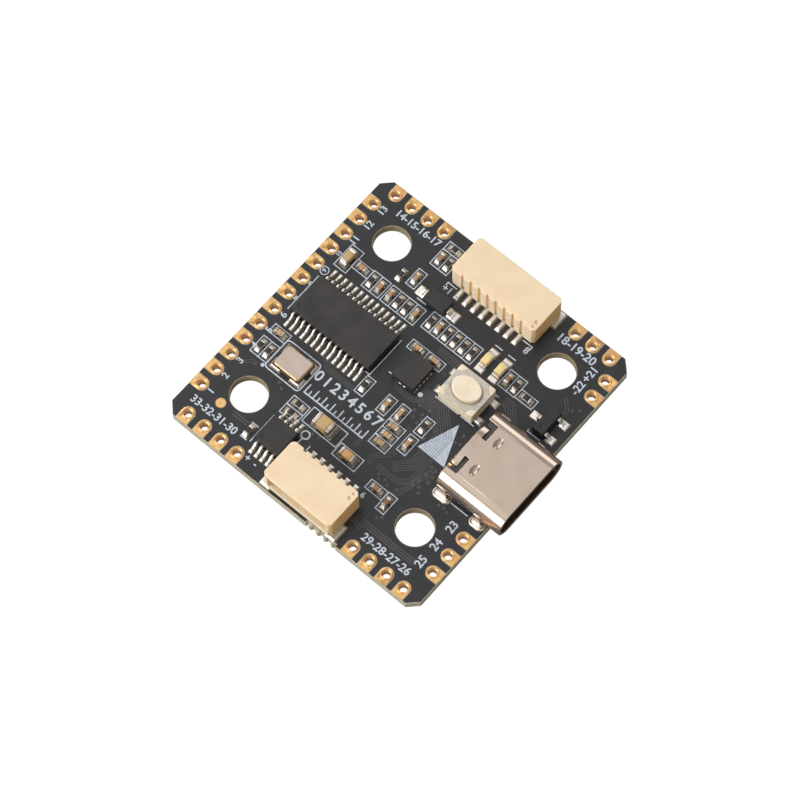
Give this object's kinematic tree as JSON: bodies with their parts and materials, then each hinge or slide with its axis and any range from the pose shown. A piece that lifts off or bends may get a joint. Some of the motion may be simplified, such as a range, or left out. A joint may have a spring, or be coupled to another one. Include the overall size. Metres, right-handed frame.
{
  "type": "flight controller board",
  "caption": "Small square flight controller board for a multirotor, with a USB socket, two wire sockets, edge solder pads, a sprung boot button and mounting holes.",
  "frame": {"origin": "centre of the four mounting holes, on the board's underside face", "axes": "+Z out of the component face, +X towards the USB socket, +Y the flight direction, towards the larger wire socket"},
  "size_m": [0.0315, 0.031, 0.0057],
  "materials": {
    "laminate": "pale glass-epoxy board, cut edges",
    "solder_mask": "matte black solder mask",
    "gold_plating": "flat gold over nickel on copper",
    "solder": "bright reflowed solder",
    "usb_steel": "nickel-plated stamped steel",
    "black_insulator": "black moulded insulator",
    "contact_gold": "gold-plated contacts",
    "inner_steel": "bare stainless sheet",
    "socket_plastic": "cream moulded nylon",
    "tinned_metal": "bright tin plate",
    "button_plastic": "ivory moulded plastic",
    "button_cap": "beige moulded plastic",
    "button_steel": "thin stamped steel",
    "chip_plastic": "black moulding compound",
    "crystal_ceramic": "dark brown ceramic",
    "crystal_gold": "gold-plated rim and pads",
    "crystal_steel": "plated steel lid",
    "led_plastic": "white light base",
    "led_lens": "cast pale yellow resin",
    "capacitor_ceramic": "brown ceramic",
    "capacitor_tan": "tan ceramic",
    "end_caps": "tinned end caps",
    "resistor_ceramic": "white alumina",
    "resistor_black": "black glaze",
    "barometer_board": "dark substrate",
    "barometer_steel": "drawn metal lid",
    "inductor_ferrite": "dark grey moulded iron powder"
  },
  "bodies": {
    "board": {"barometer_base": "barometer_board", "barometer_lid": "barometer_steel", "board_laminate": "laminate", "boot_button_base": "button_plastic", "boot_button_cover": "button_steel", "boot_button_dome": "button_steel", "boot_button_terminals": "tinned_metal", "crystal_base": "crystal_ceramic", "crystal_contacts": "crystal_gold", "crystal_lid": "crystal_steel", "crystal_seal_ring": "crystal_gold", "diode_body": "chip_plastic", "diode_leads": "tinned_metal", "display_chip_body": "chip_plastic", "display_chip_leads": "tinned_metal", "driver_chip_body": "chip_plastic", "driver_chip_leads": "tinned_metal", "edge_pads": "gold_plating", "fiducial_disc": "gold_plating", "inductor_bodies": "inductor_ferrite", "inductor_ends": "tinned_metal", "large_capacitor_bodies": "capacitor_tan", "large_capacitor_ends": "end_caps", "led_bases": "led_plastic", "led_ends": "tinned_metal", "led_lenses": "led_lens", "memory_chip_body": "chip_plastic", "memory_chip_pads": "tinned_metal", "motion_sensor_body": "chip_plastic", "motion_sensor_pads": "tinned_metal", "motor_socket_anchors": "tinned_metal", "motor_socket_contacts": "tinned_metal", "motor_socket_housing": "socket_plastic", "processor_body": "chip_plastic", "processor_leads": "tinned_metal", "regulator_body": "chip_plastic", "regulator_pads": "tinned_metal", "resistor_coats": "resistor_black", "resistor_ends": "end_caps", "resistor_substrates": "resistor_ceramic", "serial_socket_anchors": "tinned_metal", "serial_socket_contacts": "tinned_metal", "serial_socket_housing": "socket_plastic", "small_capacitor_bodies": "capacitor_ceramic", "small_capacitor_ends": "end_caps", "solder_mask_top": "solder_mask", "solder_mask_underside": "solder_mask", "solder_pads_top": "solder", "solder_pads_underside": "solder", "transistor_body": "chip_plastic", "transistor_leads": "tinned_metal", "underside_capacitor_bodies": "capacitor_ceramic", "underside_capacitor_ends": "end_caps", "usb_contacts": "contact_gold", "usb_insulator": "black_insulator", "usb_leg_solder": "solder", "usb_mid_plate": "inner_steel", "usb_shell": "usb_steel"},
    "boot_button": {"boot_button_plunger": "button_cap"}
  },
  "joints": [
    {"name": "boot_button_press", "type": "slide", "parent": "board", "child": "boot_button", "axis": [0, 0, -1], "range_m": [0, 0.00025], "stiffness_N_per_m": 6400, "deforming": ["boot_button_dome"]}
  ]
}
